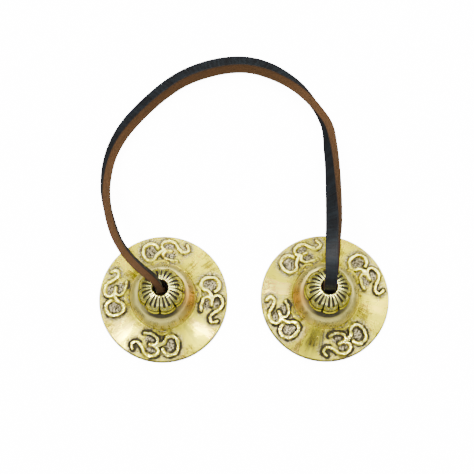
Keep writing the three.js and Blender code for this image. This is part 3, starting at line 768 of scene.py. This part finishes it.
# The dome's warmer gold, oranger on the side that faces the other bell, and the pitted ground of the signs
warm = add(tree, "ShaderNodeMix", {"Factor": orange_side, "A": paint("#F0E27E"), "B": paint("#DCA844")},
           data_type="RGBA")
golden = add(tree, "ShaderNodeMix", {"Factor": on_dome, "A": grey_reflection_tint.outputs["Result"],
                                     "B": warm.outputs["Result"]}, data_type="RGBA")
speckle = add(tree, "ShaderNodeMapRange", {"Value": grit.outputs["Fac"], "From Min": 0.45, "From Max": 0.6})
floor_tone = add(tree, "ShaderNodeMix", {"Factor": speckle.outputs["Result"], "A": paint("#2B2614"),
                                         "B": paint("#CFC396")}, data_type="RGBA")
pitted = add(tree, "ShaderNodeMix", {"Factor": enclosed, "A": golden.outputs["Result"],
                                     "B": floor_tone.outputs["Result"]}, data_type="RGBA")

# Patina and painted shade, mottled but for the dome's, and crests that hands have rubbed bright, lightened
# further as a painted highlight
mottle = add(tree, "ShaderNodeMapRange", {"Value": on_dome, "To Min": grit.outputs["Fac"], "To Max": 0.42})
uneven_patina_and_shade = add(tree, "ShaderNodeMath", {0: mottle.outputs["Result"], 1: 0.8, 2: patina_shade_glint},
                    operation="MULTIPLY_ADD")
patina_and_shade_share = add(tree, "ShaderNodeMapRange", {"Value": uneven_patina_and_shade.outputs["Value"], "From Min": 0.55,
                                                "From Max": 1.15})
rubbed_and_highlit = add(tree, "ShaderNodeMapRange", {"Value": patina_shade_glint, "From Min": -1, "From Max": 0, "To Min": 1,
                                          "To Max": 0})
# Painted highlight on the crests, over their rubbed brass.
rubbed_crest_highlight = add(tree, "ShaderNodeMix", {"Factor": rubbed_and_highlit.outputs["Result"], "A": pitted.outputs["Result"],
                                     "B": paint("#FFFC96")}, data_type="RGBA")
colour = add(tree, "ShaderNodeMix", {"Factor": patina_and_shade_share.outputs["Result"], "A": rubbed_crest_highlight.outputs["Result"],
                                     "B": paint("#2F2A12")}, data_type="RGBA")

# Roughness: least in the painted highlight wedges and on the rubbed crests, and most in patina, painted shade and
# pits
dull = add(tree, "ShaderNodeMath", {0: patina_and_shade_share.outputs["Result"], 1: enclosed}, operation="MAXIMUM")
burnish = add(tree, "ShaderNodeMapRange", {"Value": sectors.outputs["Fac"], "From Min": 0.35,
                                           "From Max": 0.65, "To Min": 0.3, "To Max": 0.14})
smoothed = add(tree, "ShaderNodeMath", {0: glint_share.outputs["Result"], 1: -0.12,
                                        2: burnish.outputs["Result"]}, operation="MULTIPLY_ADD")
scratched = add(tree, "ShaderNodeMath", {0: streaks.outputs["Fac"], 1: 0.16, 2: smoothed.outputs["Value"]},
                operation="MULTIPLY_ADD")
handled = add(tree, "ShaderNodeMath", {0: rubbed_and_highlit.outputs["Result"], 1: -0.12,
                                       2: scratched.outputs["Value"]}, operation="MULTIPLY_ADD")
gloss = add(tree, "ShaderNodeMath", {0: dull.outputs["Value"], 1: 0.25, 2: handled.outputs["Value"]},
            operation="MULTIPLY_ADD")
metal = add(tree, "ShaderNodeMapRange", {"Value": patina_and_shade_share.outputs["Result"], "To Min": 1, "To Max": 0.6})

# Bumps: the lathe's rings, the scratches of polishing, and grit in the rough places
ring_height = add(tree, "ShaderNodeMath", {0: rings.outputs["Fac"], 1: 0.5}, operation="MULTIPLY")
scratch_depth = add(tree, "ShaderNodeMapRange", {"Value": on_dome, "To Min": 0.16, "To Max": 0})
scratch_height = add(tree, "ShaderNodeMath", {0: streaks.outputs["Fac"], 1: scratch_depth.outputs["Result"],
                                              2: ring_height.outputs["Value"]}, operation="MULTIPLY_ADD")
height = add(tree, "ShaderNodeMath", {0: grit.outputs["Fac"], 1: dull.outputs["Value"],
                                      2: scratch_height.outputs["Value"]}, operation="MULTIPLY_ADD")
bump = add(tree, "ShaderNodeBump", {"Strength": 0.7, "Distance": 0.18 * mm,
                                    "Height": height.outputs["Value"]})

round_axis = add(tree, "ShaderNodeTangent", direction_type="RADIAL", axis="Z")
tree.links.new(colour.outputs["Result"], shader.inputs["Base Color"])
tree.links.new(gloss.outputs["Value"], shader.inputs["Roughness"])
tree.links.new(metal.outputs["Result"], shader.inputs["Metallic"])
tree.links.new(bump.outputs["Normal"], shader.inputs["Normal"])
tree.links.new(round_axis.outputs["Tangent"], shader.inputs["Tangent"])
shader.inputs["Anisotropic"].default_value = 0.8
shader.inputs["Anisotropic Rotation"].default_value = 0.25

bells = [("left", -knob_spacing / 2, radians(-3)), ("right", knob_spacing / 2, radians(27.3))]
for side, bell_x, turn in bells:
    casting = bell_casting(side, bell_x, turn)
    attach(casting, f"{side}_bell")
    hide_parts(f"{side}_bell")

# The knots
# Inside each dome the strap's end is tied in a single overhand knot, too thick to pull back through the
# hole. It is the same leather, squeezed and rounded by the tying.
knot_turns = [
    (0, 0, 22), (0, 0, 17), (0, 0, 13.2), (0.4, 0.6, 9.6), (2.6, 1.6, 7.2), (4.4, -0.6, 7.4),
    (3.6, -3.6, 8.6), (0.4, -4.9, 9.8), (-3.2, -3.8, 10.6), (-4.8, -0.4, 10.4), (-3.4, 3.2, 9.2),
    (0.2, 4.6, 7.8), (2.6, 2.6, 6.4), (3.4, -0.2, 5.8), (5.2, -1.4, 6.6), (7.2, -1.6, 7.2),
]

# The strap is squeezed to this share of its size, and its first points run straight down from the hole.
knot_squeeze = 0.62
knot_section = section[:, :2] * knot_squeeze
straight_points = 45
for side, bell_x, turn in bells:
    line = through(knot_turns, 14)
    rings = len(line)
    steps = distances(line)
    tangent = unit(np.gradient(line, axis=0))
    sideways = np.cross((0, 0, 1), tangent)
    sideways[:straight_points] = (1, 0, 0)
    sideways = unit(sideways)
    across = unit(sideways - (sideways * tangent).sum(-1, keepdims=True) * tangent)
    out = np.cross(tangent, across)
    rows = line[:, None] + across[:, None] * knot_section[None, :, :1]
    rows = rows + out[:, None] * knot_section[None, :, 1:]
    rows = rows + np.array([bell_x, 0, 0])
    knot = grid_mesh(f"{side}_overhand_knot", rows, capped=True)
    shape = np.broadcast_to(section[None, :, :2], (rings, len(section), 2))
    lengthwise = np.broadcast_to(steps[:, None, None], (rings, len(section), 1))
    note(knot, "leather_mm", np.concatenate([shape, lengthwise], -1))
    cover_in_leather(knot, rings)
    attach(knot, f"{side}_knot")
    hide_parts(f"{side}_knot")

# The table
# A plain light table of white acrylic, lit from below, which stays in the studio. It is so bright that it
# is kept out of the reflections and off the leather, as a photographer does with black card.
acrylic, tree, shader = new_material("white_acrylic_light_table")
shader.inputs["Base Color"].default_value = paint("#F4F4F4")
shader.inputs["Roughness"].default_value = 0.8
shader.inputs["Emission Color"].default_value = paint("#FFFFFF")
shader.inputs["Emission Strength"].default_value = 13
table_half = 2500
front_edge = [(-table_half, -table_half, 0), (table_half, -table_half, 0)]
back_edge = [(-table_half, table_half, 0), (table_half, table_half, 0)]
table = grid_mesh("table", np.array([front_edge, back_edge]), closed_across=False)
table.data.materials.append(acrylic)
table.visible_glossy = False
table.visible_diffuse = False

# The light
# A white tent that is bright round the camera's hood and dim toward the table, sewn from panels that let
# more or less light through, and lamps over it whose reflections make the bright sectors on the turned
# flanges. A lamp has its place in metres, two sizes and a brightness.
tent = bpy.data.worlds.new("white_tent")
tent.use_nodes = True
tree = tent.node_tree
toward = add(tree, "ShaderNodeTexCoord")
height = add(tree, "ShaderNodeSeparateXYZ", {0: toward.outputs["Generated"]})
dimmer = add(tree, "ShaderNodeValToRGB", {"Fac": height.outputs["Z"]})
dimmer.color_ramp.interpolation = "EASE"
dimmer.color_ramp.elements.new(0.72)
dimmer.color_ramp.elements.new(0.88)
tent_stops = [(0.2, 0.3), (0.72, 0.95), (0.88, 0.95), (0.97, 0.45)]
for element, (z, strength) in zip(dimmer.color_ramp.elements, tent_stops):
    element.position = z
    element.color = (strength, strength, strength, 1)
panels = add(tree, "ShaderNodeTexNoise", {"Vector": toward.outputs["Generated"], "Scale": 4.5, "Detail": 1})
let_through = add(tree, "ShaderNodeMapRange", {"Value": panels.outputs["Fac"], "From Min": 0.38,
                                               "From Max": 0.62, "To Min": 0.55, "To Max": 1.25})
tent_light = add(tree, "ShaderNodeMath", {0: dimmer.outputs["Color"], 1: let_through.outputs["Result"]},
                 operation="MULTIPLY")
tree.links.new(tent_light.outputs["Value"], tree.nodes["Background"].inputs["Strength"])
tree.nodes["Background"].inputs["Color"].default_value = paint("#FFFEFA")
bpy.context.scene.world = tent
lamps = [
    ("upper_left_lamp", (-0.36, -0.1, 0.95), (0.13, 0.13), 150),
    ("back_left_lamp", (-0.31, 0.22, 0.96), (0.08, 0.08), 120),
    ("upper_right_lamp", (0.24, -0.12, 1.0), (0.07, 0.1), 200),
    ("left_box", (-0.45, 0.42, 0.82), (0.4, 0.4), 3),
    ("right_box", (0.55, 0.2, 0.85), (0.35, 0.6), 8),
    ("back_box", (0.1, 0.68, 0.85), (1.2, 0.4), 5.5),
    ("front_card", (0, -0.75, 0.2), (1.2, 0.3), 2),
]
lamps_aim = Vector((0, 0.03, 0))
for name, place, sizes, brightness in lamps:
    light = bpy.data.lights.new(name, "AREA")
    light.shape = "RECTANGLE"
    light.size, light.size_y = sizes
    light.energy = brightness * pi * sizes[0] * sizes[1]
    lamp = bpy.data.objects.new(name, light)
    lamp.location = place
    lamp.rotation_euler = (lamps_aim - Vector(place)).to_track_quat("-Z", "Y").to_euler()
    bpy.context.scene.collection.objects.link(lamp)
